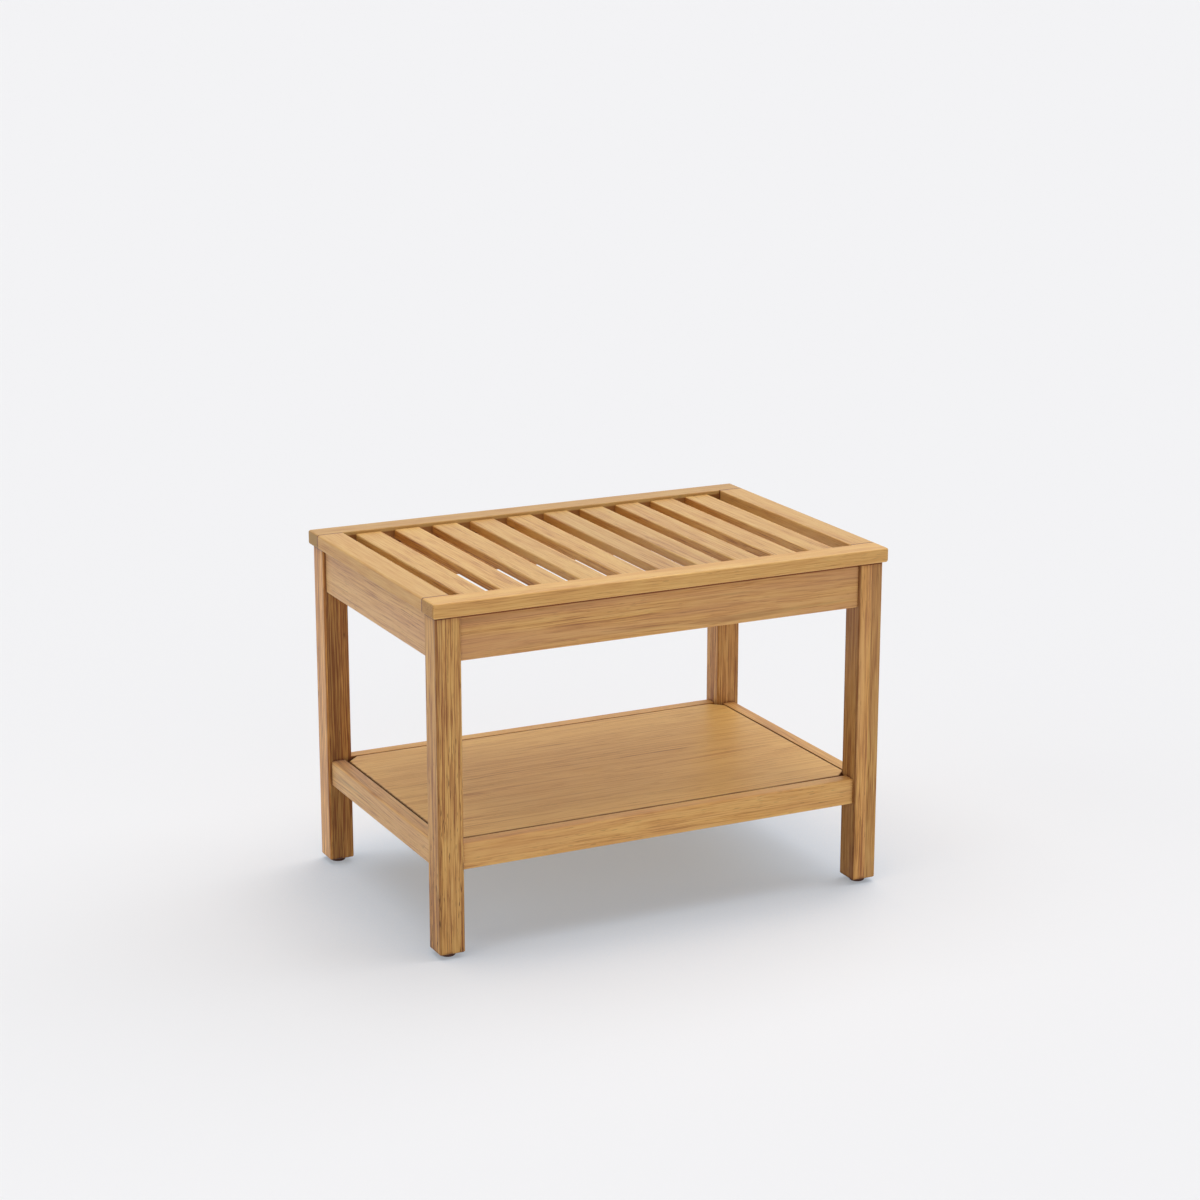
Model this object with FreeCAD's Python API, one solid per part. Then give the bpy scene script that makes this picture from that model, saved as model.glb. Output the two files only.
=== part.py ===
import FreeCAD, Part
import math
import os

# Slatted bathroom bench with a lower shelf, in millimetres.
# X runs along the bench, Y from the front to the back and Z up. The origin is on the floor under the middle.

# Overall size
length = 600.0
depth = 400.0
height = 432.0

# Top frame: two long rails with two end rails butted between them
top_thickness = 18.0
long_rail_width = 32.0
end_rail_width = 34.0
top_round = 3.0
inner_round = 1.5
dowel_diameter = 6.0
dowel_length = 30.0
dowel_spacing = 15.0

# Slats, tenoned into the long rails and set a little below them
slat_count = 10
slat_width = 34.0
slat_thickness = 10.5
slat_recess = 4.0
slat_round = 2.0
tenon_shoulder = 5.0
tenon_thickness = 6.0
tenon_length = 8.0

# Legs, square posts under the corners of the top
leg_width = 32.0
end_overhang = 4.5
side_overhang = 6.0
leg_round = 2.0
leg_toe = 1.2

# Aprons under the top, butted between the legs
apron_height = 55.0
apron_thickness = 18.0
apron_setback = 4.0
apron_round = 1.5

# Shelf: four rails between the legs and a panel that drops in between them
shelf_top = 138.0
shelf_rail_height = 32.0
shelf_rail_thickness = 18.0
shelf_rail_setback = 5.0
shelf_rail_round = 3.0
panel_thickness = 12.0
panel_gap = 2.0
panel_leg_gap = 1.8
panel_round = 0.8
cleat_width = 15.0
cleat_round = 1.0
under_margin = 2.0

# Corner blocks, which bridge two aprons or two shelf rails behind a leg
block_thickness = 20.0
block_leg_gap = 2.0
block_margin = 8.0
block_screw_spread = 22.0
block_screw_grip = 9.0
cleat_block_gap = 3.0

# Hanger bolts, from the corner blocks into the legs
bolt_diameter = 6.0
bolt_bite = 24.0
bolt_tip = 4.0
bolt_end = 3.0
bolt_room = 0.5
washer_diameter = 14.0
washer_thickness = 1.5
nut_width = 10.0
nut_height = 5.0

# Countersunk wood screws
screw_diameter = 4.0
small_screw_diameter = 3.5
head_ratio = 2.0
screw_bite = 12.0
screw_cover = 5.0
top_screw_grip = 25.0
long_apron_screws = 3
short_apron_screws = 2
apron_screw_margin = 90.0
long_cleat_screws = 3
short_cleat_screws = 2
cleat_screw_margin = 25.0
long_panel_screws = 2
short_panel_screws = 1
panel_screw_margin = 85.0

# Round glides, each moulded over the head of a nail
glide_diameter = 19.0
glide_thickness = 6.0
glide_round = 2.0
nail_diameter = 2.5
nail_head_diameter = 9.0
nail_head_thickness = 1.0
nail_bite = 14.0

# Easing of sawn edges, and the room round whatever sits in a hole or mortise
eased = 0.8
joint_eased = 0.4
clearance = 0.1
end_room = 0.5

# Places that follow from the sizes
ORIGIN = FreeCAD.Vector(0, 0, 0)
X_AXIS = FreeCAD.Vector(1, 0, 0)
Y_AXIS = FreeCAD.Vector(0, 1, 0)
Z_AXIS = FreeCAD.Vector(0, 0, 1)
INWARD = FreeCAD.Vector(-math.sqrt(0.5), -math.sqrt(0.5), 0)

frame_x = length / 2
frame_y = depth / 2
frame_low = height - top_thickness
opening_x = frame_x - end_rail_width
opening_y = frame_y - long_rail_width
slat_gap = (2 * opening_x - slat_count * slat_width) / (slat_count + 1)
slat_top = height - slat_recess
slat_middle = slat_top - slat_thickness / 2
leg_x = frame_x - end_overhang
leg_y = frame_y - side_overhang
leg_inner_x = leg_x - leg_width
leg_inner_y = leg_y - leg_width
apron_low = frame_low - apron_height
shelf_low = shelf_top - shelf_rail_height
panel_low = shelf_top - panel_thickness
cleat_low = shelf_low + under_margin


def box(low, high):
    """A block between two opposite corners."""
    size = [b - a for a, b in zip(low, high)]
    return Part.makeBox(*size, FreeCAD.Vector(*low))


def near(a, b):
    return abs(a - b) < 0.01


def rounded(solid, radius, wanted):
    """The solid with the edges rounded whose middle point is wanted."""
    return solid.makeFillet(radius, [edge for edge in solid.Edges if wanted(edge.CenterOfMass)])


def chamfered(solid, size, wanted):
    """The solid with the edges bevelled whose middle point is wanted."""
    return solid.makeChamfer(size, [edge for edge in solid.Edges if wanted(edge.CenterOfMass)])


def prism(points, low, high):
    """A flat outline of (x, y) points, raised from one height to another."""
    corners = [FreeCAD.Vector(x, y, low) for x, y in points]
    face = Part.Face(Part.makePolygon(corners + corners[:1]))
    return face.extrude(Z_AXIS * (high - low))


def turned(profile):
    """A solid of revolution about Z, from (radius, z) points."""
    corners = [FreeCAD.Vector(r, 0, z) for r, z in profile]
    face = Part.Face(Part.makePolygon(corners + corners[:1]))
    return face.revolve(ORIGIN, Z_AXIS, 360)


def placed(solid, place, direction):
    """A solid made along +Z, moved so that it starts at a place and points in a direction."""
    solid = solid.copy()
    solid.Placement = FreeCAD.Placement(place, FreeCAD.Rotation(Z_AXIS, direction))
    return solid


def mirrored(solid, side_x=1, side_y=1):
    """What is made at the back right, carried to the corner with these signs."""
    if side_x < 0:
        solid = solid.mirror(ORIGIN, X_AXIS)
    if side_y < 0:
        solid = solid.mirror(ORIGIN, Y_AXIS)
    return solid


def spread(count, span, margin):
    """Even places along a span centred on 0, kept a margin from its ends."""
    if count == 1:
        return [0.0]
    step = (span - 2 * margin) / (count - 1)
    return [margin - span / 2 + k * step for k in range(count)]


def screw(diameter, long, room=0.0, sink=0.0):
    """A countersunk screw pointing along +Z. With room it is its hole, with sink a counterbore behind it."""
    shank = diameter / 2
    head = shank * head_ratio
    cone = head - shank
    profile = [
        (0, -sink),
        (head + room, -sink),
        (head + room, 0),
        (shank + room, cone),
        (shank + room, long - diameter),
        (0, long + room),
    ]
    if not sink:
        profile = [(0, 0)] + profile[2:]
    return turned(profile)


# Each list holds the tools that bore one kind of piece, made at the back right
leg_tools = []
long_apron_tools = []
short_apron_tools = []
long_rail_tools = []
end_rail_tools = []
long_shelf_rail_tools = []
short_shelf_rail_tools = []
long_cleat_tools = []
short_cleat_tools = []
panel_tools = []

# Fasteners of one kind share a group. Those of a corner are mirrored to all four
corner_fasteners = {name: [] for name in ("block_screws", "hanger_bolts", "bolt_washers", "bolt_nuts",
                                          "frame_dowels", "glide_nails")}
long_side_fasteners = {name: [] for name in ("top_screws", "cleat_screws", "panel_screws")}
short_side_fasteners = {name: [] for name in ("top_screws", "cleat_screws", "panel_screws")}


def drive_screw(group, diameter, long, place, direction, bored, sink=0.0):
    """Adds a screw to its group and its hole to every piece that it passes through."""
    group.append(placed(screw(diameter, long), place, direction))
    hole = placed(screw(diameter, long, clearance, sink), place, direction)
    for tools in bored:
        tools.append(hole)


def drive_bolt(block_tools, middle, block_near):
    """A hanger bolt from the leg's inner corner through a corner block, with its washer and nut."""
    corner = FreeCAD.Vector(leg_inner_x, leg_inner_y, middle)
    block_far = block_near + block_thickness
    radius = bolt_diameter / 2
    bolt_long = bolt_bite + block_far + washer_thickness + nut_height + bolt_end
    start = corner - INWARD * bolt_bite
    bolt = turned([(0, 0), (radius / 2, 0), (radius, bolt_tip), (radius, bolt_long - eased),
                   (radius - eased, bolt_long), (0, bolt_long)])
    corner_fasteners["hanger_bolts"].append(placed(bolt, start, INWARD))
    leg_tools.append(placed(Part.makeCylinder(radius + clearance, bolt_bite + end_room),
                            start - INWARD * end_room, INWARD))
    block_tools.append(placed(Part.makeCylinder(radius + bolt_room, bolt_long), start, INWARD))
    seat = corner + INWARD * block_far
    ring = Part.makeCylinder(washer_diameter / 2, washer_thickness)
    ring = ring.cut(Part.makeCylinder(radius + bolt_room, washer_thickness))
    corner_fasteners["bolt_washers"].append(placed(ring, seat, INWARD))
    across_corners = nut_width / math.cos(math.pi / 6) / 2
    hexagon = [(across_corners * math.cos(k * math.pi / 3), across_corners * math.sin(k * math.pi / 3))
               for k in range(6)]
    nut = prism(hexagon, 0, nut_height).cut(Part.makeCylinder(radius + clearance, nut_height))
    corner_fasteners["bolt_nuts"].append(placed(nut, seat + INWARD * washer_thickness, INWARD))


def corner_block(setback, thickness, low, high, screw_heights, long_tools, short_tools):
    """A diagonal block at the back right, screwed to both boards beside the leg and bolted to the leg."""
    inner_x = leg_x - setback - thickness
    inner_y = leg_y - setback - thickness
    leg_stands_in = leg_width - setback - thickness
    near_side = 2 * leg_stands_in + block_leg_gap * math.sqrt(2)
    far_side = near_side + block_thickness * math.sqrt(2)
    outline = [(inner_x - near_side, inner_y), (inner_x - far_side, inner_y),
               (inner_x, inner_y - far_side), (inner_x, inner_y - near_side)]
    tools = []
    middle = (near_side + far_side) / 2
    screw_long = block_screw_grip + screw_bite
    for z in screw_heights:
        drive_screw(corner_fasteners["block_screws"], screw_diameter, screw_long,
                    FreeCAD.Vector(inner_x - middle, inner_y - block_screw_grip, z), Y_AXIS,
                    (tools, long_tools), block_thickness)
        drive_screw(corner_fasteners["block_screws"], screw_diameter, screw_long,
                    FreeCAD.Vector(inner_x - block_screw_grip, inner_y - middle, z), X_AXIS,
                    (tools, short_tools), block_thickness)
    drive_bolt(tools, (low + high) / 2, block_leg_gap)
    return prism(outline, low, high).cut(tools), far_side


def leg():
    """A square post with rounded edges, bored for its bolts and its glide."""
    post = box((leg_inner_x, leg_inner_y, glide_thickness), (leg_x, leg_y, frame_low))
    post = rounded(post, leg_round, lambda at: near(at.z, (glide_thickness + frame_low) / 2))
    post = chamfered(post, leg_toe, lambda at: near(at.z, glide_thickness))
    return post.cut(leg_tools)


def glide():
    """A plastic cap under a leg, moulded over the head of the nail that holds it."""
    axis = FreeCAD.Vector(leg_x - leg_width / 2, leg_y - leg_width / 2, 0)
    head_low = (glide_thickness - nail_head_thickness) / 2
    nail_top = glide_thickness + nail_bite

    def nail(room):
        head = nail_head_diameter / 2 + room
        shank = nail_diameter / 2 + room
        neck = head_low + nail_head_thickness + room
        return turned([(0, head_low - room), (head, head_low - room), (head, neck), (shank, neck),
                       (shank, nail_top - nail_diameter), (0, nail_top + room)])

    corner_fasteners["glide_nails"].append(placed(nail(0.0), axis, Z_AXIS))
    hole = placed(nail(clearance), axis, Z_AXIS)
    leg_tools.append(hole)
    cap = Part.makeCylinder(glide_diameter / 2, glide_thickness, axis)
    cap = rounded(cap, glide_round, lambda at: near(at.z, 0))
    return cap.cut(hole)


def long_rail(slat_places):
    """The back rail of the top, with rounded edges and a mortise for each slat."""
    rail = box((-frame_x, opening_y, frame_low), (frame_x, frame_y, height))

    def outer(at):
        along_end = near(abs(at.x), frame_x) and not near(at.z, (frame_low + height) / 2)
        return near(at.y, frame_y) or along_end

    rail = rounded(rail, top_round, outer)
    bead_start = FreeCAD.Vector(-opening_x, opening_y + inner_round, height - inner_round)
    bead = Part.makeCylinder(inner_round, 2 * opening_x, bead_start, X_AXIS)
    inner_edge = box((-opening_x, opening_y, height - inner_round),
                     (opening_x, opening_y + inner_round, height))
    mortise_x = slat_width / 2 - tenon_shoulder + clearance
    mortise_z = tenon_thickness / 2 + clearance
    mortises = [box((x - mortise_x, opening_y, slat_middle - mortise_z),
                    (x + mortise_x, opening_y + tenon_length + end_room, slat_middle + mortise_z))
                for x in slat_places]
    return rail.cut([inner_edge.cut(bead)] + mortises + long_rail_tools)


def end_rail():
    """The right rail of the top, butted between the long rails."""
    rail = box((opening_x, -opening_y, frame_low), (frame_x, opening_y, height))
    rail = chamfered(rail, joint_eased, lambda at: near(abs(at.y), opening_y) and near(at.z, height))
    rail = rounded(rail, top_round, lambda at: near(at.x, frame_x) and near(at.y, 0))
    for radius, z in ((inner_round, height), (eased, frame_low)):
        rail = rounded(rail, radius, lambda at: near(at.x, opening_x) and near(at.y, 0) and near(at.z, z))
    return rail.cut(end_rail_tools)


def slat(x):
    """A slat with a stub tenon at each end."""
    half = slat_width / 2
    low = slat_top - slat_thickness
    board = box((x - half, -opening_y, low), (x + half, opening_y, slat_top))
    board = rounded(board, slat_round, lambda at: near(at.y, 0) and near(at.z, slat_top))
    board = rounded(board, eased, lambda at: near(at.y, 0) and near(at.z, low))
    tenon_x = half - tenon_shoulder
    reach = opening_y + tenon_length
    tongue = box((x - tenon_x, -reach, slat_middle - tenon_thickness / 2),
                 (x + tenon_x, reach, slat_middle + tenon_thickness / 2))
    return board.fuse(tongue).removeSplitter()


def crosswise_board(low, high, radii, tools):
    """A board along X whose long edges are rounded by (radius, outer, upper) rows."""
    board = box(low, high)
    for radius, outer, upper in radii:
        y = high[1] if outer else low[1]
        z = high[2] if upper else low[2]
        board = rounded(board, radius, lambda at: near(at.x, 0) and near(at.y, y) and near(at.z, z))
    return board.cut(tools)


def lengthwise_board(low, high, radii, tools):
    """A board along Y whose long edges are rounded by (radius, outer, upper) rows."""
    board = box(low, high)
    for radius, outer, upper in radii:
        x = high[0] if outer else low[0]
        z = high[2] if upper else low[2]
        board = rounded(board, radius, lambda at: near(at.y, 0) and near(at.x, x) and near(at.z, z))
    return board.cut(tools)


def shelf_panel():
    """The shelf board, with its corners cut off to clear the legs."""
    half_x = leg_x - shelf_rail_setback - shelf_rail_thickness - panel_gap
    half_y = leg_y - shelf_rail_setback - shelf_rail_thickness - panel_gap
    leg_stands_in = leg_width - shelf_rail_setback - shelf_rail_thickness
    cut = 2 * (leg_stands_in - panel_gap) + panel_leg_gap * math.sqrt(2)
    corner = [(half_x, half_y - cut), (half_x - cut, half_y)]
    outline = (corner + [(-x, y) for x, y in reversed(corner)] + [(-x, -y) for x, y in corner]
               + [(x, -y) for x, y in reversed(corner)])
    board = prism(outline, panel_low, shelf_top)
    board = chamfered(board, panel_round, lambda at: near(at.z, shelf_top))
    everywhere = [mirrored(tool, sx, sy) for tool in panel_tools for sx in (1, -1) for sy in (1, -1)]
    return board.cut(everywhere)


nodes = {}

# Corner blocks, their screws and the bolts that hold the legs
top_block_low = apron_low + block_margin
top_block_high = frame_low - block_margin
top_block_middle = (top_block_low + top_block_high) / 2
top_heights = [top_block_middle - block_screw_spread / 2, top_block_middle + block_screw_spread / 2]
top_block, top_block_reach = corner_block(apron_setback, apron_thickness, top_block_low, top_block_high,
                                          top_heights, long_apron_tools, short_apron_tools)
shelf_block, shelf_block_reach = corner_block(shelf_rail_setback, shelf_rail_thickness, cleat_low, panel_low,
                                              [(cleat_low + panel_low) / 2],
                                              long_shelf_rail_tools, short_shelf_rail_tools)
foot_glide = glide()

# Dowels between the end rails and the long rails
for offset in (-dowel_spacing / 2, dowel_spacing / 2):
    start = FreeCAD.Vector(frame_x - end_rail_width / 2 + offset, opening_y - dowel_length / 2,
                           (frame_low + height) / 2)
    radius = dowel_diameter / 2
    pin = Part.makeCylinder(radius, dowel_length)
    pin = chamfered(pin, eased, lambda at: near(at.z, 0) or near(at.z, dowel_length))
    corner_fasteners["frame_dowels"].append(placed(pin, start, Y_AXIS))
    hole = placed(Part.makeCylinder(radius + clearance, dowel_length + 2 * end_room),
                  start - Y_AXIS * end_room, Y_AXIS)
    for side in (1, -1):
        long_rail_tools.append(mirrored(hole, side))
        end_rail_tools.append(mirrored(hole, 1, side))

# Screws up through counterbored holes in the aprons into the top frame
top_screw_long = top_screw_grip + top_thickness - screw_cover
top_screw_z = frame_low - top_screw_grip
for x in spread(long_apron_screws, 2 * leg_inner_x, apron_screw_margin):
    drive_screw(long_side_fasteners["top_screws"], screw_diameter, top_screw_long,
                FreeCAD.Vector(x, leg_y - apron_setback - apron_thickness / 2, top_screw_z), Z_AXIS,
                (long_apron_tools, long_rail_tools), apron_height)
for y in spread(short_apron_screws, 2 * leg_inner_y, apron_screw_margin):
    drive_screw(short_side_fasteners["top_screws"], screw_diameter, top_screw_long,
                FreeCAD.Vector(leg_x - apron_setback - apron_thickness / 2, y, top_screw_z), Z_AXIS,
                (short_apron_tools, end_rail_tools), apron_height)

# Cleats under the panel, screwed to the shelf rails, and the screws up into the panel
shelf_inner_x = leg_x - shelf_rail_setback - shelf_rail_thickness
shelf_inner_y = leg_y - shelf_rail_setback - shelf_rail_thickness
cleat_x = shelf_inner_x - shelf_block_reach - cleat_block_gap
cleat_y = shelf_inner_y - shelf_block_reach - cleat_block_gap
cleat_middle = (cleat_low + panel_low) / 2
cleat_screw_long = cleat_width + screw_bite
panel_screw_long = panel_low - cleat_low + panel_thickness - screw_cover
for x in spread(long_cleat_screws, 2 * cleat_x, cleat_screw_margin):
    drive_screw(long_side_fasteners["cleat_screws"], small_screw_diameter, cleat_screw_long,
                FreeCAD.Vector(x, shelf_inner_y - cleat_width, cleat_middle), Y_AXIS,
                (long_cleat_tools, long_shelf_rail_tools))
for y in spread(short_cleat_screws, 2 * cleat_y, cleat_screw_margin):
    drive_screw(short_side_fasteners["cleat_screws"], small_screw_diameter, cleat_screw_long,
                FreeCAD.Vector(shelf_inner_x - cleat_width, y, cleat_middle), X_AXIS,
                (short_cleat_tools, short_shelf_rail_tools))
for x in spread(long_panel_screws, 2 * cleat_x, panel_screw_margin):
    drive_screw(long_side_fasteners["panel_screws"], small_screw_diameter, panel_screw_long,
                FreeCAD.Vector(x, shelf_inner_y - cleat_width / 2, cleat_low), Z_AXIS,
                (long_cleat_tools, panel_tools))
for y in spread(short_panel_screws, 2 * cleat_y, panel_screw_margin):
    drive_screw(short_side_fasteners["panel_screws"], small_screw_diameter, panel_screw_long,
                FreeCAD.Vector(shelf_inner_x - cleat_width / 2, y, cleat_low), Z_AXIS,
                (short_cleat_tools, panel_tools))


def both_ways(tools, side_x, side_y):
    """Bores made at one corner, repeated at the other end of the same board."""
    return tools + [mirrored(tool, side_x, side_y) for tool in tools]


# One of each board, at the back or on the right
first_slat = slat_gap + slat_width / 2 - opening_x
slat_places = [first_slat + k * (slat_width + slat_gap) for k in range(slat_count)]
shelf_rail_edges = [(shelf_rail_round, True, True), (apron_round, True, False), (eased, False, True),
                    (eased, False, False)]
long_boards = {
    "top_rail": long_rail(slat_places),
    "apron": crosswise_board(
        (-leg_inner_x, leg_y - apron_setback - apron_thickness, apron_low),
        (leg_inner_x, leg_y - apron_setback, frame_low),
        [(apron_round, True, False), (apron_round, False, False)],
        both_ways(long_apron_tools, -1, 1)),
    "shelf_rail": crosswise_board(
        (-leg_inner_x, shelf_inner_y, shelf_low), (leg_inner_x, leg_y - shelf_rail_setback, shelf_top),
        shelf_rail_edges, both_ways(long_shelf_rail_tools, -1, 1)),
    "shelf_cleat": crosswise_board(
        (-cleat_x, shelf_inner_y - cleat_width, cleat_low), (cleat_x, shelf_inner_y, panel_low),
        [(cleat_round, False, False), (cleat_round, False, True)], long_cleat_tools),
}
short_boards = {
    "top_rail": end_rail(),
    "apron": lengthwise_board(
        (leg_x - apron_setback - apron_thickness, -leg_inner_y, apron_low),
        (leg_x - apron_setback, leg_inner_y, frame_low),
        [(apron_round, True, False), (apron_round, False, False)],
        both_ways(short_apron_tools, 1, -1)),
    "shelf_rail": lengthwise_board(
        (shelf_inner_x, -leg_inner_y, shelf_low), (leg_x - shelf_rail_setback, leg_inner_y, shelf_top),
        shelf_rail_edges, both_ways(short_shelf_rail_tools, 1, -1)),
    "shelf_cleat": lengthwise_board(
        (shelf_inner_x - cleat_width, -cleat_y, cleat_low), (shelf_inner_x, cleat_y, panel_low),
        [(cleat_round, False, False), (cleat_round, False, True)], short_cleat_tools),
}
corner_pieces = {"leg": leg(), "top_block": top_block, "shelf_block": shelf_block, "foot_glide": foot_glide}

# Every piece in its own node
front_back = {"front": -1, "back": 1}
left_right = {"left": -1, "right": 1}
for name, board in long_boards.items():
    for side, sign in front_back.items():
        nodes[f"{name}_{side}"] = mirrored(board, 1, sign)
for name, board in short_boards.items():
    for side, sign in left_right.items():
        nodes[f"{name}_{side}"] = mirrored(board, sign)
for name, piece in corner_pieces.items():
    for side_y, sign_y in front_back.items():
        for side_x, sign_x in left_right.items():
            nodes[f"{name}_{side_y}_{side_x}"] = mirrored(piece, sign_x, sign_y)
for k, x in enumerate(slat_places, 1):
    nodes[f"slat_{k:02d}"] = slat(x)
nodes["shelf_panel"] = shelf_panel()

# Fasteners, one group for each kind
groups = {name: [] for name in [*corner_fasteners, *long_side_fasteners]}
for name, pieces in corner_fasteners.items():
    groups[name] += [mirrored(piece, sx, sy) for piece in pieces for sx in (-1, 1) for sy in (-1, 1)]
for name, pieces in long_side_fasteners.items():
    groups[name] += [mirrored(piece, 1, sy) for piece in pieces for sy in (-1, 1)]
for name, pieces in short_side_fasteners.items():
    groups[name] += [mirrored(piece, sx) for piece in pieces for sx in (-1, 1)]
for name, pieces in groups.items():
    nodes[name] = Part.makeCompound(pieces)

os.makedirs("parts", exist_ok=True)
for name, shape in nodes.items():
    shape.exportStep(f"parts/{name}.step")
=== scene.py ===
"""Dresses the bathroom bench in oiled wood, and sets its floor, light and camera."""

import math
import random
from dataclasses import dataclass, replace

import bpy
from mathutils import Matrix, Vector


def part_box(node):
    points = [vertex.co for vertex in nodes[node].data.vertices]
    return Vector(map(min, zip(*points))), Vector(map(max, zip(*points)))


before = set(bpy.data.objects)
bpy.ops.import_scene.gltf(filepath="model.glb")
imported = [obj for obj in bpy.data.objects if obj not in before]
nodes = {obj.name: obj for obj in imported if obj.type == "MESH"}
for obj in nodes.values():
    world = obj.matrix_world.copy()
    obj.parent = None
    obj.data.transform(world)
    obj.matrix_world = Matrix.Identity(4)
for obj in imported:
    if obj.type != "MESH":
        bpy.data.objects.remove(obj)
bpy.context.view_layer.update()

MM = 0.001

# Camera, in metres and radians, with its lens in mm. Yaw turns from +Y towards +X, pitch looks down
CAMERA_PLACE = (-1.4653, -2.9888, 1.2514)
CAMERA_YAW = 0.4578
CAMERA_PITCH = 0.2634
CAMERA_LENS = 83.6
SENSOR_WIDTH = 36.0

# Light. Each sun has its direction towards the light, its strength and its width in degrees
SUNS = {
    "overhead_right": ((0.68, 0.15, 1.0), 1.5, 60),
    "overhead_left": ((-0.12, 0.15, 1.0), 1.24, 60),
    "left_fill": ((-1.0, 0.0, 0.25), 0.72, 60),
    "front_fill": ((-0.1, -1.0, 0.25), 0.7, 60),
}
SKY_COLOUR = (1.0, 1.0, 1.0, 1.0)
SKY_STRENGTH = 0.15


def colour(red, green, blue):
    """A linear colour from the 0 to 255 values of a screen."""
    def linear(value):
        share = value / 255
        return share / 12.92 if share <= 0.04045 else ((share + 0.055) / 1.055) ** 2.4
    return (linear(red), linear(green), linear(blue), 1.0)


BACKGROUND = colour(241, 241, 243)

# Floor, in metres. Its shade deepens where the view from it to open air narrows
FLOOR_SIZE = 120.0
FLOOR_COLOUR = (0.86, 0.86, 0.875, 1.0)
FLOOR_GLOW = 0.32
FLOOR_SHADE = (0.38, 0.6, 0.86, 1.0)
FLOOR_SHADE_REACH = 0.45
FLOOR_SHADE_SPAN = (0.95, 0.25)
FLOOR_SHADE_SHARE = 0.7
FLOOR_SAMPLES = 8

# Wood colours, from the palest sapwood to the pores
PALE_WOOD = colour(228, 183, 108)
MIDDLE_WOOD = colour(208, 153, 82)
DARK_WOOD = colour(146, 88, 40)
DEPTH_RAMP = ((0.0, PALE_WOOD), (0.5, MIDDLE_WOOD), (1.0, DARK_WOOD))
ROSY_WOOD = colour(200, 148, 102)
STREAK = colour(118, 72, 44)
PORE = colour(80, 48, 28)

# What ends, edges, gaps and corners multiply the wood's colour by. Most of the edge, gap and corner tints
# are painted highlights and shade
END_GRAIN = (0.64, 0.62, 0.60, 1.0)
# Paler edges: partly wear, partly a painted highlight on the rounded edges
WORN_AND_HIGHLIT_EDGE = (1.16, 1.18, 1.24, 1.0)
# A painted highlight along the slats' edges towards +X
HIGHLIGHT_EDGE = (1.45, 1.5, 1.6, 1.0)
DARK_EDGE = (0.55, 0.45, 0.36, 1.0)
# Painted shade along the shelf panel's edges, in the gaps to the rails and legs
PANEL_EDGE_SHADE = (0.28, 0.2, 0.14, 1.0)
# Painted shade, warm and dark, on the walls of the gaps between slats and at their ends
GAP_WALL_SHADE = (0.8, 0.6, 0.37, 1.0)
# Painted shade, reddish dark, in corners and seams, under the seat and at the ends of the gaps
CORNER_SHADE = (0.26, 0.1, 0.04, 1.0)

# Colours of the plastic feet and the plated steel, each with its darker shade
BROWN_PLASTIC = (colour(92, 52, 34), colour(74, 40, 27))
ZINC_STEEL = (colour(196, 198, 200), colour(160, 163, 168))


@dataclass(frozen=True)
class Layer:
    """A layer of noise, with features of this length along the grain and width across it, in mm."""

    length: float
    width: float
    detail: float = 2.0
    shift: float = 0.0    # sets the layer apart from the others
    span: tuple = ()      # the noise at which the layer sets in, and at which it is full
    weight: float = 1.0   # how much the layer counts


SWAY = Layer(300, 70, weight=18)
WOBBLE = Layer(160, 14, weight=1.6)
MOTTLE = Layer(70, 20, shift=3, weight=0.5)
BANDS = Layer(420, 16, detail=3, shift=11, weight=1.0)
FIBRES = Layer(45, 1.1, shift=13, weight=1.6)
LINES = Layer(700, 2.4, shift=7, span=(0.4, 0.64), weight=0.34)
THIN_LINES = Layer(400, 1.2, shift=17, span=(0.42, 0.64), weight=0.36)
ROSE = Layer(240, 20, shift=29, span=(0.15, 0.75))
PATCHES = Layer(200, 30, detail=1, shift=45)
STREAKS = Layer(380, 8, shift=21, span=(0.56, 0.74), weight=0.7)
PORES = Layer(15, 1.3, detail=1, shift=34, span=(0.62, 0.72), weight=0.7)
RAGGED = Layer(40, 6)
SPECKLE = Layer(1.2, 1.2, detail=3, weight=0.5)
CLOUD = Layer(10.8, 10.8, shift=5, weight=0.5)
NOISE_MIDDLE = 0.5

# Growth rings: where in a ring the late wood sets in and is full, where it stops, and how dark it is
LATE_WOOD = (0.15, 0.85)
RING_END = (0.88, 1.0)
LATE_WEIGHT = 0.45

# Streaks keep to some patches, and pores to others
STREAK_PATCHES = (0.4, 0.65)
PORE_PATCHES = (0.65, 0.3)
FEWEST_PORES = 0.2

# Painted shade in corners: how far away a corner counts, and the occlusion at which it sets in and is full
CREVICE_REACH = 14 * MM
CREVICE_SPAN = (0.55, 0.15)
SEAM_REACH = 6 * MM
SEAM_SPAN = (0.82, 0.45)
WOOD_SAMPLES = 6

# Roughness of oiled wood and what is added to it, and heights in the bump
OILED_ROUGHNESS = 0.34
FIBRE_ROUGHNESS = 0.2
PORE_ROUGHNESS = 0.2
END_ROUGHNESS = 0.12
SHEEN_ROUGHNESS = 0.5
FIBRE_HEIGHT = 0.5
PORE_HEIGHT = -0.8
LINE_HEIGHT = 0.3
WOOD_BUMP = {"Strength": 0.6, "Distance": 0.15 * MM}

# Speckled finishes
SPECKLE_SPAN = (0.35, 0.65)
CLOUD_ROUGHNESS = 0.2
SPECKLE_BUMP = {"Strength": 0.3, "Distance": 0.05 * MM}

# A board's place in its log, in mm, and the log's pith line and rings
LOG_REACH = (2000, 400, 400)
STAVE_SHIFT = 173.0
PITH_DISTANCE = (40, 130)
PITH_TILT = 0.03
RING_WIDTH = (5.0, 11.0)

# How squarely a face looks along an axis before it counts, and from when it counts in full
END_FACING = (0.6, 0.85)
SIDE_FACING = (0.5, 0.9)
FLAT_FACING = (0.3, 0.7)

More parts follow.
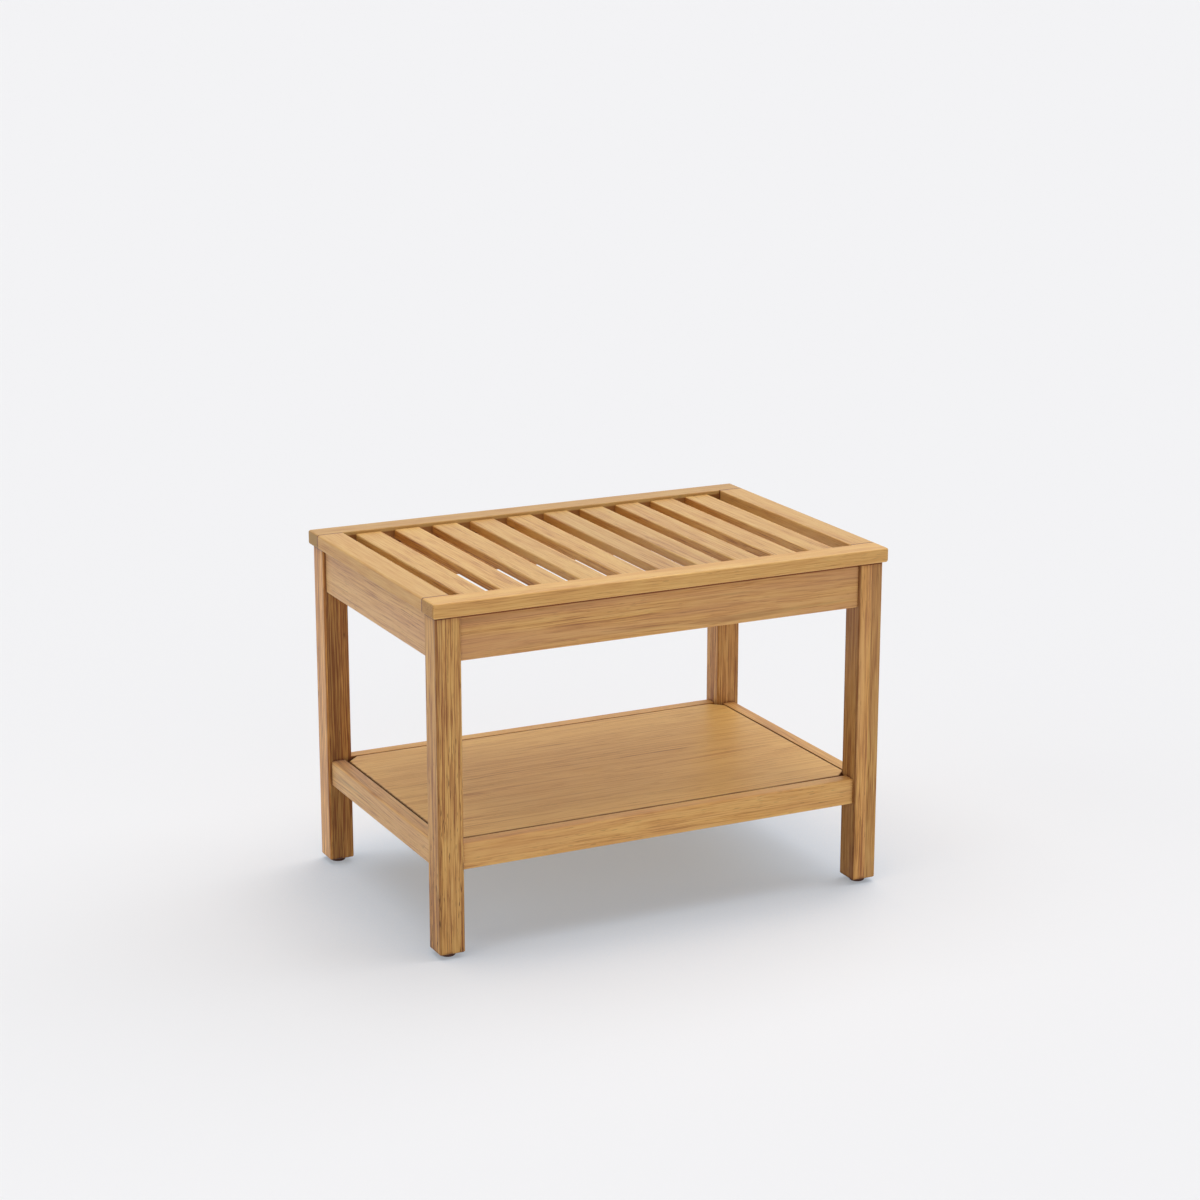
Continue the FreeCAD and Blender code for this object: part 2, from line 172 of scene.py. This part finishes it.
# Joint lines: the distances from a board's end, in mm, at which they set in and are full
JOINT_SPAN = (4.0, 1.5)

# Under the seat, a painted shadow: a line's fade in mm and its darkness, then the reach of a shade, in
# lines, and its darkness
HOOD_FADE = 1.0
HOOD_LINE = 0.95
HOOD_REACH = 3
HOOD_SHADE = 0.2

# Walls of gaps, painted shade: the distances from a slat's back end and bottom, in mm, where the tint sets
# in and is full
GAP_BACK = (260, 10)
GAP_BOTTOM = (5.5, 2.0)
GAP_BOTTOM_SHARE = 0.5

# Ends of gaps, painted shade: the top of the slats and the fade below it, in mm, and the darkness
SLAT_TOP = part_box("slat_01")[1].z / MM
GAP_END_FADE = 2.0
GAP_END_DARK = 0.45

# Low pores: the heights from a board's middle, in mm, at which they set in and are full
LOW_PORES = (20, -120)

# The axes along the grain and across it, and what keeps only the part of a vector across it
GRAIN = {"x": (0, 1, 2), "y": (1, 2, 0), "z": (2, 0, 1)}
ACROSS = (0, 1, 1)

# Sockets of a Mix node that are for colours
MIX_SHARE, MIX_FIRST, MIX_SECOND, MIX_RESULT = 0, 6, 7, 2


class Graph:
    """Adds nodes to a tree. An input is a number, a vector, a colour or the output of another node."""

    def __init__(self, tree):
        self.tree = tree

    def give(self, sockets, values):
        for key, value in values.items():
            if isinstance(value, bpy.types.NodeSocket):
                self.tree.links.new(value, sockets[key])
            else:
                sockets[key].default_value = value

    def node(self, kind, inputs=None, **settings):
        made = self.tree.nodes.new(kind)
        for name, value in settings.items():
            setattr(made, name, value)
        self.give(made.inputs, inputs or {})
        return made

    def math(self, operation, *values):
        return self.node("ShaderNodeMath", dict(enumerate(values)), operation=operation).outputs[0]

    def product(self, *values):
        total = values[0]
        for value in values[1:]:
            total = self.math("MULTIPLY", total, value)
        return total

    def weighted(self, base, *terms):
        """A base plus each value times its weight."""
        for value, weight in terms:
            base = self.math("MULTIPLY_ADD", value, weight, base)
        return base

    def vector(self, operation, *values):
        return self.node("ShaderNodeVectorMath", dict(enumerate(values)), operation=operation).outputs[0]

    def scaled(self, value, scale):
        inputs = {"Vector": value, "Scale": scale}
        return self.node("ShaderNodeVectorMath", inputs, operation="SCALE").outputs[0]

    def length(self, value):
        return self.node("ShaderNodeVectorMath", {0: value}, operation="LENGTH").outputs["Value"]

    def parts(self, value):
        return self.node("ShaderNodeSeparateXYZ", {0: value}).outputs

    def joined(self, *values):
        return self.node("ShaderNodeCombineXYZ", dict(enumerate(values))).outputs[0]

    def place(self):
        """The point on the object, in mm."""
        return self.scaled(self.node("ShaderNodeTexCoord").outputs["Object"], 1 / MM)

    def occlusion(self, reach, samples):
        return self.node("ShaderNodeAmbientOcclusion", {"Distance": reach}, samples=samples).outputs["AO"]

    def noise(self, place, layer):
        scale = (1 / layer.length, 1 / layer.width, 1 / layer.width)
        moved = self.vector("MULTIPLY_ADD", place, scale, (layer.shift,) * 3)
        inputs = {"Vector": moved, "Scale": 1.0, "Detail": layer.detail}
        return self.node("ShaderNodeTexNoise", inputs).outputs

    def layer(self, place, layer):
        """The strength of a layer at a place: its noise, or a step across its span."""
        value = self.noise(place, layer)["Fac"]
        return self.step(value, layer.span) if layer.span else value

    def step(self, value, span, ends=(0.0, 1.0)):
        """A smooth step from one end to the other while the value crosses the span."""
        low, high = span
        first, last = ends
        inputs = {"Value": value, "From Min": low, "From Max": high, "To Min": first, "To Max": last}
        return self.node("ShaderNodeMapRange", inputs, interpolation_type="SMOOTHSTEP").outputs[0]

    def mix(self, share, first, second, blend="MIX"):
        inputs = {MIX_SHARE: share, MIX_FIRST: first, MIX_SECOND: second}
        return self.node("ShaderNodeMix", inputs, data_type="RGBA", blend_type=blend).outputs[MIX_RESULT]

    def tinted(self, share, base, tint):
        """A colour that is multiplied by a tint where the share is 1."""
        return self.mix(share, base, self.mix(1.0, base, tint, "MULTIPLY"))

    def ramp(self, value, stops):
        made = self.node("ShaderNodeValToRGB", {0: value})
        elements = made.color_ramp.elements
        while len(elements) < len(stops):
            elements.new(0.5)
        for element, (position, tint) in zip(elements, stops):
            element.position = position
            element.color = tint
        return made.outputs[0]

    def surface(self, bump, height, inputs):
        """A principled surface with a bump of this height, as the tree's output."""
        normal = self.node("ShaderNodeBump", {**bump, "Height": height}).outputs[0]
        shader = self.node("ShaderNodeBsdfPrincipled", {**inputs, "Normal": normal})
        self.node("ShaderNodeOutputMaterial", {"Surface": shader.outputs[0]})


def wood_group():
    """An empty group with the inputs and outputs of the wood's figure."""
    tree = bpy.data.node_groups.new("wood_figure", "ShaderNodeTree")
    numbers = ("Depth", "Figure", "Lines", "Ring", "Rings", "Rose", "Streaks", "Pores", "Seam shade",
               "Joint lines and shade", "Gap shade", "Tone", "End", "Edge")
    inputs = {name: "NodeSocketVector" for name in ("Place", "Pith", "Tilt")}
    inputs.update({name: "NodeSocketFloat" for name in numbers})
    inputs["Edge tint"] = "NodeSocketColor"
    outputs = {"Colour": "NodeSocketColor", "Roughness": "NodeSocketFloat", "Height": "NodeSocketFloat"}
    for way, sockets in (("INPUT", inputs), ("OUTPUT", outputs)):
        for name, kind in sockets.items():
            tree.interface.new_socket(name, in_out=way, socket_type=kind)
    return tree


def late_wood(graph, given, swayed):
    """Dark late wood in rings round the pith, which are uneven in width and each of its own strength."""
    place = given["Place"]
    lean = graph.scaled(given["Tilt"], graph.parts(place)[0])
    from_pith = graph.vector("ADD", graph.vector("SUBTRACT", swayed, given["Pith"]), lean)
    radius = graph.length(graph.vector("MULTIPLY", from_pith, ACROSS))
    turn = graph.math("DIVIDE", radius, given["Ring"])
    turn = graph.weighted(turn, (graph.layer(place, WOBBLE), WOBBLE.weight))
    ring = graph.math("FRACT", turn)
    number = graph.math("FLOOR", turn)
    strength = graph.node("ShaderNodeTexWhiteNoise", {"W": number}, noise_dimensions="1D").outputs["Value"]
    late = graph.product(graph.step(ring, LATE_WOOD), graph.step(ring, RING_END, (1.0, 0.0)))
    return graph.product(late, strength, given["Rings"])


def corner_shade(graph, given):
    """Painted shade where corners and seams are occluded, and where the board says that it is dark."""
    corners = graph.step(graph.occlusion(CREVICE_REACH, WOOD_SAMPLES), CREVICE_SPAN)
    seam_shade = graph.product(graph.step(graph.occlusion(SEAM_REACH, WOOD_SAMPLES), SEAM_SPAN), given["Seam shade"])
    return graph.math("MAXIMUM", graph.math("MAXIMUM", corners, seam_shade), given["Joint lines and shade"])


def wood_figure():
    """The figure of the wood, with its painted highlight and shade, as a group that every wooden material
    shares.

    Place is in mm, with X along the grain. Rings lie round a pith line, and the rest runs along X.
    """
    tree = wood_group()
    graph = Graph(tree)
    given = graph.node("NodeGroupInput").outputs
    place = given["Place"]

    # The grain wanders a little to the side along the board
    sway = graph.vector("SUBTRACT", graph.noise(place, SWAY)["Color"], (NOISE_MIDDLE,) * 3)
    swayed = graph.vector("MULTIPLY_ADD", sway, (0, SWAY.weight, SWAY.weight), place)

    # Rings, mottle, broad bands, fibres and lines make the colour deeper or paler
    fibres = graph.layer(place, FIBRES)
    lines = graph.layer(swayed, LINES)
    depth = graph.weighted(given["Depth"], (late_wood(graph, given, swayed), LATE_WEIGHT))
    for value, layer, share in ((graph.layer(swayed, MOTTLE), MOTTLE, "Figure"),
                                (graph.layer(swayed, BANDS), BANDS, "Figure"),
                                (fibres, FIBRES, "Figure"),
                                (lines, LINES, "Lines"),
                                (graph.layer(swayed, THIN_LINES), THIN_LINES, "Lines")):
        part = graph.product(graph.math("SUBTRACT", value, NOISE_MIDDLE), layer.weight, given[share])
        depth = graph.math("ADD", part, depth)
    rosy = graph.product(graph.layer(swayed, ROSE), given["Rose"])

    # Dark streaks and pores come in patches
    patches = graph.layer(swayed, PATCHES)
    streak = graph.product(graph.layer(swayed, STREAKS), graph.step(patches, STREAK_PATCHES),
                           given["Streaks"])
    pore = graph.product(graph.layer(place, PORES), graph.step(patches, PORE_PATCHES, (FEWEST_PORES, 1.0)),
                         given["Pores"])

    tint = graph.ramp(depth, DEPTH_RAMP)
    tint = graph.mix(rosy, tint, ROSY_WOOD)
    tint = graph.mix(graph.math("MULTIPLY", streak, STREAKS.weight), tint, STREAK)
    tint = graph.mix(graph.math("MULTIPLY", pore, PORES.weight), tint, PORE)
    tint = graph.tinted(given["End"], tint, END_GRAIN)
    # The edge, gap and corner tints paint highlight and shade, with some wear on the edges
    tint = graph.tinted(given["Edge"], tint, given["Edge tint"])
    tint = graph.tinted(given["Gap shade"], tint, GAP_WALL_SHADE)
    tint = graph.tinted(corner_shade(graph, given), tint, CORNER_SHADE)
    tint = graph.mix(1.0, tint, graph.joined(*[given["Tone"]] * 3), "MULTIPLY")

    roughness = graph.weighted(OILED_ROUGHNESS, (fibres, FIBRE_ROUGHNESS), (pore, PORE_ROUGHNESS),
                               (given["End"], END_ROUGHNESS))
    height = graph.weighted(0.0, (fibres, FIBRE_HEIGHT), (pore, PORE_HEIGHT), (lines, LINE_HEIGHT))
    graph.node("NodeGroupOutput", {"Colour": tint, "Roughness": roughness, "Height": height})
    return tree


FIGURE = wood_figure()


@dataclass(frozen=True)
class Look:
    """How a board looks, with lengths in mm. Strengths are about 1 where they are full."""

    grain: str = ""               # the axis along the grain, which the board's side tells where it is empty
    depth: float = 0.36           # of the colour, from 0 for the palest to 1 for the darkest
    upright_shading: float = 0.0          # painted light and shade: added to the depth on upright faces, which come out darker where it is positive and paler where it is negative
    figure: float = 1.0           # strength of mottle, bands and fibres
    lines: float = 1.0
    rings: float = 0.6
    rose: float = 0.3
    streaks: float = 0.4
    pores: float = 0.35
    low_pores: float = 0.0        # added to the pores in the lower half of an upright board
    tones: tuple = (1.0,)         # brightness of the board, or of each of its glued staves
    cuts: tuple = ()              # glue lines between the staves, from the middle
    seam_shade: float = 0.7            # painted shade in seams
    edge: float = 0.5             # strength of the tint along the edges
    edge_tint: tuple = WORN_AND_HIGHLIT_EDGE
    edge_width: float = 2.0
    edge_side: int = 0            # 1 or -1 where only the edges towards +X or -X are tinted
    gloss: float = 0.3
    sheen: float = 0.0
    joint: float = 0.0            # strength of dark lines at the very ends
    hood: float = 0.0             # height of a painted shadow line under the seat
    wall_shade: float = 0.0             # strength of the painted shade, a warm dark tint, on the sides that face a gap
    covered: int = 0              # 1 or -1 where the side towards +Y or -Y ends the gaps and takes painted shade below the slats


class Board:
    """A board's box, and nodes for where on the board a point lies and which way it faces. In mm."""

    def __init__(self, graph, name, grain):
        low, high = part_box(name)
        axes = GRAIN[grain]
        self.low = low / MM
        self.high = high / MM
        self.middle = (self.low + self.high) / 2
        self.half = [(self.high - self.low)[axis] / 2 for axis in axes]
        self.at = graph.parts(graph.place())
        self.from_middle = [graph.math("SUBTRACT", self.at[axis], self.middle[axis]) for axis in axes]
        self.facing = graph.parts(graph.node("ShaderNodeNewGeometry").outputs["Normal"])
        self.end = graph.step(graph.math("ABSOLUTE", self.facing[axes[0]]), END_FACING)


def edge_share(graph, board, look):
    """1 along the edges of a board, fading out raggedly at the edge's width from them.

    Of the distances past the faces, the second largest is 0 at an edge and negative elsewhere on a face.
    """
    from_middle = [graph.math("ABSOLUTE", value) for value in board.from_middle]
    past = [graph.math("SUBTRACT", value, size) for value, size in zip(from_middle, board.half)]
    higher = graph.math("MAXIMUM", past[0], past[1])
    lower = graph.math("MINIMUM", past[0], past[1])
    second = graph.math("MAXIMUM", lower, graph.math("MINIMUM", higher, past[2]))
    ragged = graph.math("SUBTRACT", graph.layer(graph.joined(*board.from_middle), RAGGED), NOISE_MIDDLE)
    share = graph.step(graph.weighted(second, (ragged, look.edge_width)), (-look.edge_width, 0.0))
    if look.edge_side:
        towards = graph.math("MULTIPLY", board.at[0], look.edge_side)
        on_side = graph.math("GREATER_THAN", towards, board.middle.x * look.edge_side)
        share = graph.product(share, on_side)
    return graph.product(share, look.edge)


def joint_lines(graph, board, look):
    """Dark lines at the very ends of a board."""
    along = graph.math("ABSOLUTE", board.from_middle[0])
    span = [board.half[0] - distance for distance in JOINT_SPAN]
    return graph.step(along, span, (0.0, look.joint))


def seat_shade(graph, board, look):
    """A painted shadow on what stands under the seat: a dark line and a soft shade."""
    top = board.high.z
    line = graph.step(board.at[2], (top - look.hood, top - look.hood + HOOD_FADE), (0.0, HOOD_LINE))
    shade = graph.step(board.at[2], (top - HOOD_REACH * look.hood, top - look.hood), (0.0, HOOD_SHADE))
    return graph.math("MAXIMUM", line, shade)


def gap_walls(graph, board, look):
    """Painted shade on the sides of a slat, which face the gaps, more towards the back and the bottom."""
    sides = graph.step(graph.math("ABSOLUTE", board.facing[0]), SIDE_FACING)
    back_span = [board.half[0] - distance for distance in GAP_BACK]
    back = graph.step(board.from_middle[0], back_span, (0.0, look.wall_shade))
    bottom_span = [board.low.z + distance for distance in GAP_BOTTOM]
    bottom = graph.step(board.at[2], bottom_span, (0.0, GAP_BOTTOM_SHARE * look.wall_shade))
    return graph.product(graph.math("MAXIMUM", back, bottom), sides)


def gap_ends(graph, board, look):
    """Painted shade on the inner side of a long rail, below the top of the slats."""
    below = graph.step(board.at[2], (SLAT_TOP, SLAT_TOP - GAP_END_FADE))
    inner = graph.step(graph.math("MULTIPLY", board.facing[1], look.covered), SIDE_FACING)
    return graph.product(below, inner)


def staves(graph, board, look):
    """The number of the glued stave that a point lies in, from 0, and the stave's tone."""
    number = 0.0
    tone = look.tones[0]
    for cut, before, after in zip(look.cuts, look.tones, look.tones[1:]):
        beyond = graph.math("GREATER_THAN", board.from_middle[1], cut)
        number = graph.math("ADD", beyond, number)
        tone = graph.weighted(tone, (beyond, after - before))
    return number, tone


def log_inputs(graph, board, stave, draw):
    """The point's place in the log that the board was cut from, and the log's pith and rings."""
    shift = [draw.uniform(-reach, reach) for reach in LOG_REACH]
    cut_from = [graph.math("ADD", value, offset) for value, offset in zip(board.from_middle, shift)]
    place = graph.joined(*(graph.weighted(value, (stave, STAVE_SHIFT)) for value in cut_from))
    angle = draw.uniform(0, 2 * math.pi)
    distance = draw.uniform(*PITH_DISTANCE)
    pith = (0, shift[1] + distance * math.cos(angle), shift[2] + distance * math.sin(angle))
    tilt = (0, draw.uniform(-PITH_TILT, PITH_TILT), draw.uniform(-PITH_TILT, PITH_TILT))
    return {"Place": place, "Pith": pith, "Tilt": tilt, "Ring": draw.uniform(*RING_WIDTH)}


def new_material(name):
    material = bpy.data.materials.new(name)
    material.use_nodes = True
    material.node_tree.nodes.clear()
    return material, Graph(material.node_tree)


def board_wood(name, look):
    """Oiled wood for one board, from its own place in a log."""
    material, graph = new_material(f"wood_{name}")
    board = Board(graph, name, look.grain)
    stave, tone = staves(graph, board, look)
    depth = look.depth
    if look.upright_shading:
        flat = graph.math("ABSOLUTE", board.facing[2])
        depth = graph.step(flat, FLAT_FACING, (look.depth + look.upright_shading, look.depth))
    pores = look.pores
    if look.low_pores:
        pores = graph.step(board.from_middle[0], LOW_PORES, (look.pores, look.pores + look.low_pores))
    # Dark joint lines, and painted shade under the seat and at the ends of the gaps
    dark = 0.0
    gap_shade = 0.0
    if look.joint:
        dark = joint_lines(graph, board, look)
    if look.hood:
        dark = seat_shade(graph, board, look)
    if look.wall_shade:
        gap_shade = gap_walls(graph, board, look)
    if look.covered:
        gap_shade = gap_ends(graph, board, look)
        dark = graph.math("MULTIPLY", gap_shade, GAP_END_DARK)

    wood = graph.node("ShaderNodeGroup", node_tree=FIGURE)
    graph.give(wood.inputs, log_inputs(graph, board, stave, random.Random(name)))
    graph.give(wood.inputs, {
        "Depth": depth, "Figure": look.figure, "Lines": look.lines, "Rings": look.rings, "Rose": look.rose,
        "Streaks": look.streaks, "Pores": pores, "Seam shade": look.seam_shade, "Joint lines and shade": dark, "Gap shade": gap_shade,
        "Tone": tone, "End": board.end, "Edge": edge_share(graph, board, look), "Edge tint": look.edge_tint})
    graph.surface(WOOD_BUMP, wood.outputs["Height"], {
        "Base Color": wood.outputs["Colour"], "Roughness": wood.outputs["Roughness"],
        "Specular IOR Level": look.gloss, "Sheen Weight": look.sheen, "Sheen Roughness": SHEEN_ROUGHNESS})
    return material


def speckled_material(name, colours, roughness, metallic=0.0):
    """A fine speckled finish for plastic and plated steel, with a slight bump."""
    material, graph = new_material(name)
    place = graph.place()
    speckle = graph.layer(place, SPECKLE)
    cloud = graph.layer(place, CLOUD)
    base, shade = colours
    mixture = graph.weighted(0.0, (cloud, CLOUD.weight), (speckle, SPECKLE.weight))
    tint = graph.ramp(mixture, tuple(zip(SPECKLE_SPAN, (shade, base))))
    graph.surface(SPECKLE_BUMP, speckle, {
        "Base Color": tint, "Metallic": metallic,
        "Roughness": graph.weighted(roughness, (cloud, CLOUD_ROUGHNESS))})
    return material


# How each kind of board looks, and what single boards have of their own
HIDDEN = Look(depth=0.1, figure=0.7, streaks=0.1)
KINDS = {
    "leg": Look(grain="z", depth=0.54, figure=1.1, lines=1.1, rings=0.5, rose=0.12, streaks=0.6, pores=0.8,
                seam_shade=0.9, edge=1.0, edge_tint=DARK_EDGE, edge_width=3.5, edge_side=-1, sheen=0.1, hood=3.0),
    "slat": Look(grain="y", depth=0.28, upright_shading=0.06, figure=1.1, lines=0.7, rings=0.25, rose=0.05,
                 streaks=0.25, pores=0.4, tones=(0.87,), seam_shade=0.2, edge=1.0, edge_tint=HIGHLIGHT_EDGE,
                 edge_width=4.0, edge_side=1, gloss=0.45, wall_shade=0.9),
    "top_rail": Look(depth=0.28, upright_shading=0.1, figure=0.7, lines=0.4, rings=0.2, rose=0.1, streaks=0.15,
                     pores=0.4, tones=(0.87,), seam_shade=0.2, gloss=0.45),
    "apron": Look(depth=0.38, lines=0.9, rings=0.2, rose=0.5, streaks=0.5, pores=0.4, hood=4.5),
    "shelf_rail": Look(depth=0.36, figure=0.8, lines=0.7, rings=0.3, rose=0.4, streaks=0.5, pores=0.5),
    "shelf_panel": Look(grain="x", depth=0.21, figure=0.5, lines=1.2, rings=0.2, rose=0.0, streaks=0.1,
                        pores=0.3, tones=(0.97,), edge=1.0, edge_tint=PANEL_EDGE_SHADE, edge_width=2.5),
    "shelf_cleat": HIDDEN,
    "top_block": replace(HIDDEN, grain="z", edge=0.0),
    "shelf_block": replace(HIDDEN, grain="z", edge=0.0),
    "frame_dowels": replace(HIDDEN, grain="y"),
}
SIDES = {"front": "x", "back": "x", "left": "y", "right": "y"}
SINGLE = {
    "leg_front_left": dict(depth=0.57, lines=1.3, rings=0.8, streaks=0.8, low_pores=1.4, tones=(0.95, 0.93),
                           cuts=(-4.5,), edge_width=4.5),
    # The thin first stave at the left face is darker: painted shade on the leg's inner side
    "leg_front_right": dict(depth=0.62, rose=0.6, tones=(0.69, 1.08, 0.84), cuts=(-15.0, 0.8),
                            edge_width=4.5, gloss=0.2, sheen=0.0),
    # The thin first stave at the left face is paler: painted sheen on that face
    "leg_back_left": dict(depth=0.79, tones=(1.25, 0.72, 0.87), cuts=(-13.5, 2.0), gloss=0.2, sheen=0.3),
    "leg_back_right": dict(tones=(0.93,)),
    "apron_front": dict(rose=0.75, tones=(1.02,)),
    "apron_left": dict(figure=1.3, streaks=0.3, pores=0.6, tones=(0.97,), sheen=0.28),
    "shelf_rail_front": dict(depth=0.3, tones=(1.06,)),
    "shelf_rail_left": dict(figure=1.0, rose=0.3, streaks=0.9, pores=0.6, tones=(0.95,), sheen=0.25),
    "slat_01": dict(upright_shading=-0.28, tones=(0.89,), wall_shade=0.0),
    "slat_02": dict(upright_shading=0.2, tones=(0.91,)),
    "slat_03": dict(upright_shading=0.25),
    "slat_04": dict(upright_shading=-0.15, rose=0.15, tones=(0.85,)),
    "slat_05": dict(upright_shading=-0.1),
    "slat_06": dict(upright_shading=-0.28, rose=0.15, tones=(0.78,)),
    "slat_07": dict(rose=0.15, tones=(0.8,)),
    "slat_08": dict(rose=0.15, tones=(0.84,)),
    "slat_10": dict(upright_shading=0.1),
    "top_rail_front": dict(upright_shading=0.13, rose=0.0, tones=(0.98,), covered=1),
    "top_rail_back": dict(depth=0.36, upright_shading=-0.3, tones=(0.76,), covered=-1),
    "top_rail_left": dict(joint=0.9),
    "top_rail_right": dict(joint=0.9),
}


def dress(name, material):
    slots = nodes[name].data.materials
    slots.clear()
    slots.append(material)


for name in nodes:
    for kind, look in KINDS.items():
        if name.startswith(kind):
            grain = look.grain or SIDES[name.rsplit("_", 1)[1]]
            dress(name, board_wood(name, replace(look, grain=grain, **SINGLE.get(name, {}))))

PLASTIC = speckled_material("brown_plastic", BROWN_PLASTIC, roughness=0.38)
ZINC = speckled_material("zinc_steel", ZINC_STEEL, roughness=0.28, metallic=1.0)
for name in nodes:
    if name.startswith("foot_glide"):
        dress(name, PLASTIC)
    elif name.endswith(("screws", "bolts", "washers", "nuts", "nails")):
        dress(name, ZINC)


def make_floor():
    """A pale floor that reaches past the view on every side. The camera sees its shadows softened."""
    mesh = bpy.data.meshes.new("floor")
    half = FLOOR_SIZE / 2
    corners = [(-half, -half, 0), (half, -half, 0), (half, half, 0), (-half, half, 0)]
    mesh.from_pydata(corners, [], [(0, 1, 2, 3)])
    floor = bpy.data.objects.new("floor", mesh)
    bpy.context.scene.collection.objects.link(floor)
    material, graph = new_material("floor")
    to_camera = graph.node("ShaderNodeLightPath").outputs["Is Camera Ray"]
    open_air = graph.occlusion(FLOOR_SHADE_REACH, FLOOR_SAMPLES)
    shade = graph.product(graph.step(open_air, FLOOR_SHADE_SPAN, (0.0, FLOOR_SHADE_SHARE)), to_camera)
    lit = graph.node("ShaderNodeBsdfDiffuse", {"Color": graph.mix(shade, FLOOR_COLOUR, FLOOR_SHADE)})
    glow = graph.node("ShaderNodeEmission", {"Color": BACKGROUND, "Strength": 1.0})
    share = graph.math("MULTIPLY", to_camera, FLOOR_GLOW)
    seen = graph.node("ShaderNodeMixShader", {0: share, 1: lit.outputs[0], 2: glow.outputs[0]})
    graph.node("ShaderNodeOutputMaterial", {"Surface": seen.outputs[0]})
    mesh.materials.append(material)


def make_suns():
    for name, (towards, strength, width) in SUNS.items():
        lamp = bpy.data.lights.new(name, "SUN")
        lamp.energy = strength
        lamp.angle = math.radians(width)
        sun = bpy.data.objects.new(name, lamp)
        sun.rotation_euler = Vector(towards).to_track_quat("Z", "Y").to_euler()
        bpy.context.scene.collection.objects.link(sun)


def make_sky():
    """A dim white sky that lights the bench. The camera and reflections see the pale background instead."""
    world = bpy.data.worlds.new("studio")
    bpy.context.scene.world = world
    world.use_nodes = True
    world.node_tree.nodes.clear()
    graph = Graph(world.node_tree)
    rays = graph.node("ShaderNodeLightPath").outputs
    seen = graph.math("MAXIMUM", rays["Is Camera Ray"], rays["Is Transmission Ray"])
    seen = graph.math("MAXIMUM", seen, rays["Is Glossy Ray"])
    sky = graph.node("ShaderNodeBackground", {"Color": SKY_COLOUR, "Strength": SKY_STRENGTH})
    backdrop = graph.node("ShaderNodeBackground", {"Color": BACKGROUND, "Strength": 1.0})
    chosen = graph.node("ShaderNodeMixShader", {0: seen, 1: sky.outputs[0], 2: backdrop.outputs[0]})
    graph.node("ShaderNodeOutputWorld", {"Surface": chosen.outputs[0]})


def make_camera():
    lens = bpy.data.cameras.new("camera")
    lens.lens = CAMERA_LENS
    lens.sensor_width = SENSOR_WIDTH
    camera = bpy.data.objects.new("camera", lens)
    camera.location = CAMERA_PLACE
    camera.rotation_euler = (math.pi / 2 - CAMERA_PITCH, 0, -CAMERA_YAW)
    bpy.context.scene.collection.objects.link(camera)
    bpy.context.scene.camera = camera


make_floor()
make_suns()
make_sky()
make_camera()
bpy.context.scene.view_settings.view_transform = "Standard"
